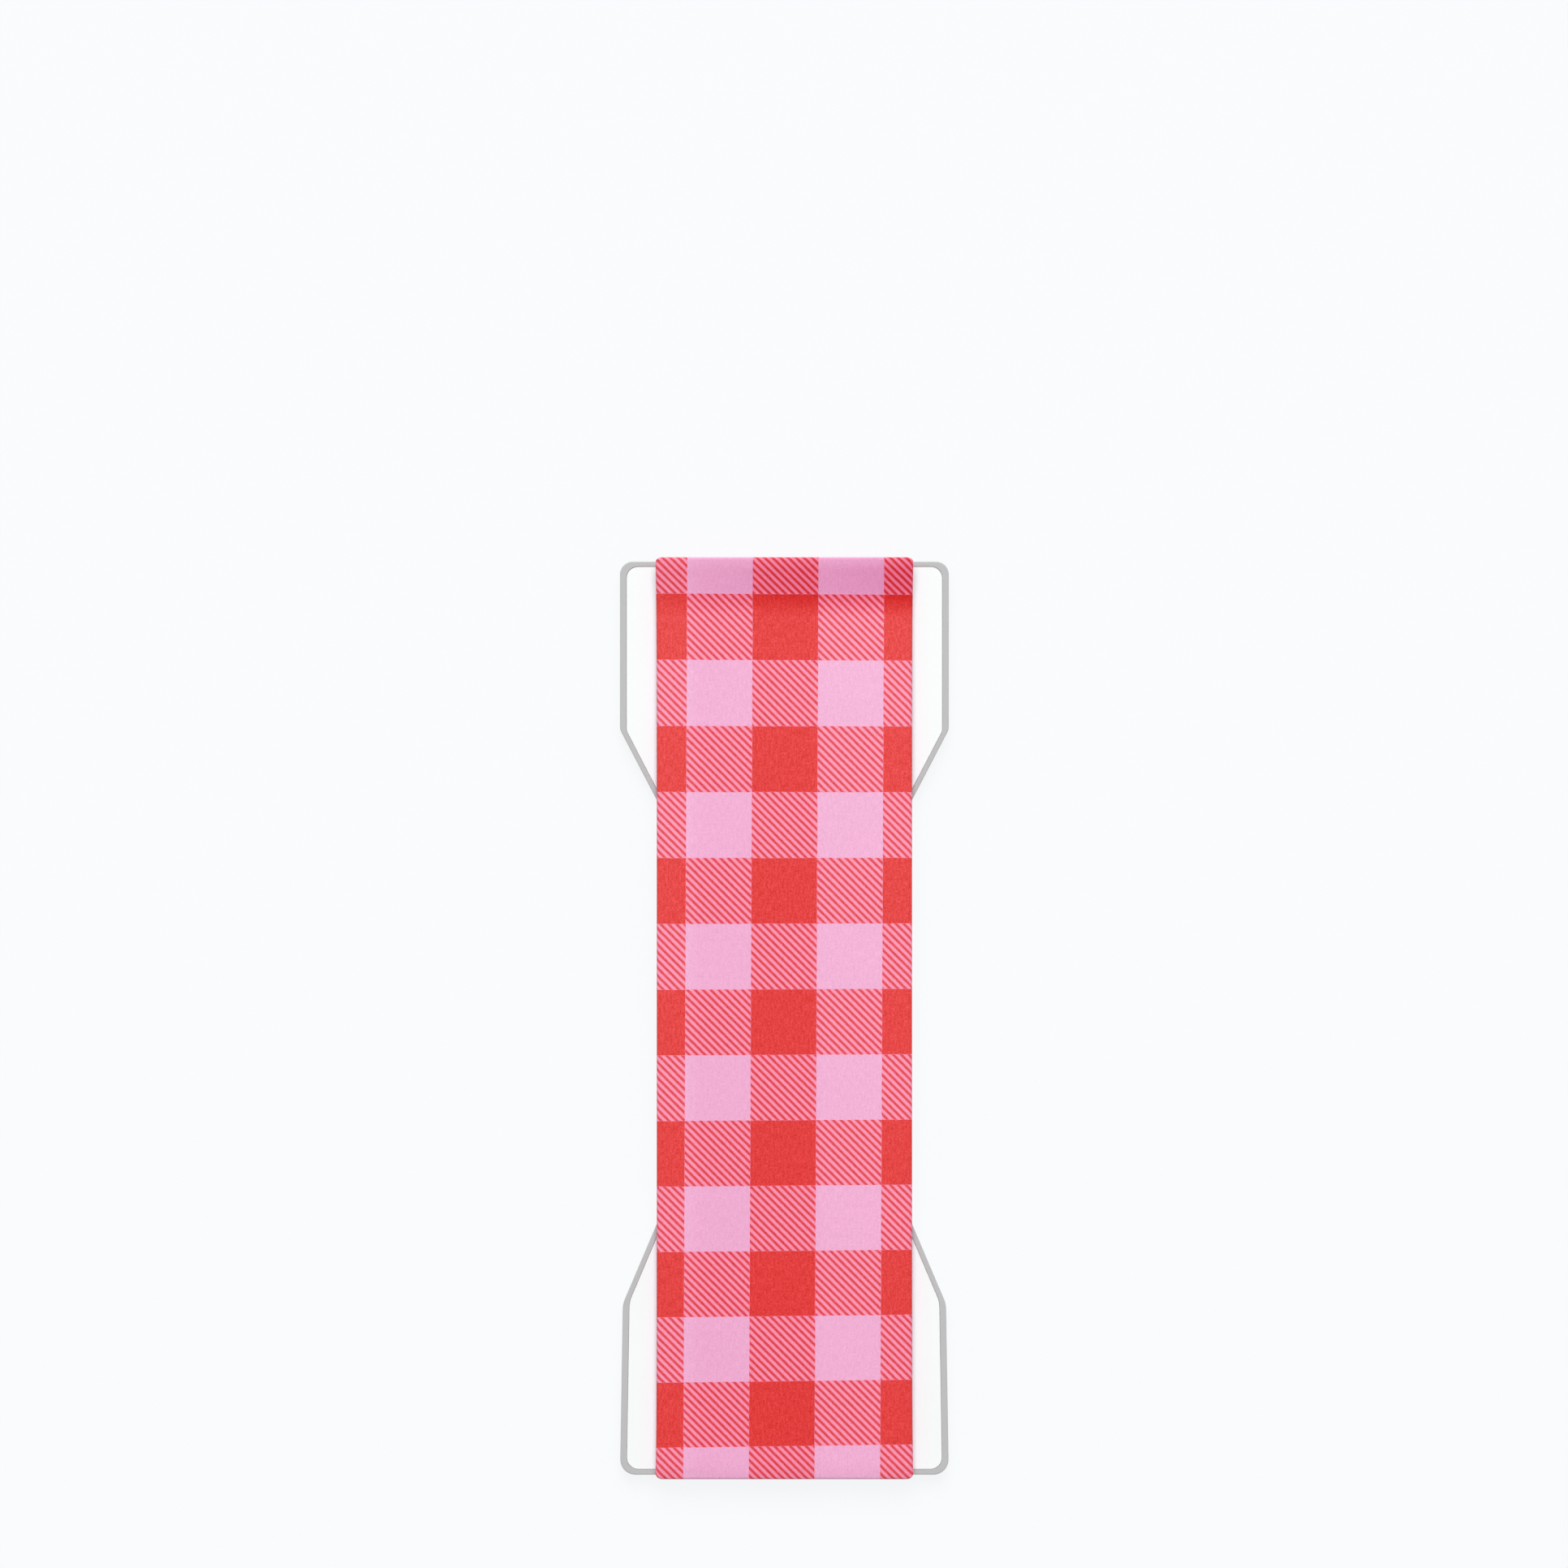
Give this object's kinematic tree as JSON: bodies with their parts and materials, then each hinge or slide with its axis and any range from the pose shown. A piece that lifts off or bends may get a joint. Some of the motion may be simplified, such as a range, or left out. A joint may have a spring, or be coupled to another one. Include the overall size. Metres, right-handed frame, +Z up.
{
  "type": "phone strap",
  "caption": "Flat elastic finger strap with a red and pink check print, hooked over the ends of a thin waisted base that sticks to the back of a phone.",
  "frame": {"origin": "the middle of the adhesive face, where the part rests, at the bottom centre of its box", "axes": "+X across the base, +Y along the strap towards the end shown at the top of the picture, +Z up from the phone"},
  "size_m": [0.036, 0.101, 0.0044],
  "materials": {
    "strap_fabric": "fine knitted elastic, printed with a red and pink check, matte",
    "hook_plastic": "moulded, satin",
    "tray_plastic": "moulded light grey, satin",
    "inlay_plastic": "moulded white, satin",
    "foam_tape": "double-sided acrylic foam tape, matte"
  },
  "bodies": {
    "root": {"strap": "strap_fabric", "top_end_hook": "hook_plastic", "bottom_end_hook": "hook_plastic", "base_tray": "tray_plastic", "base_inlay": "inlay_plastic", "adhesive_pad": "foam_tape"}
  },
  "joints": []
}
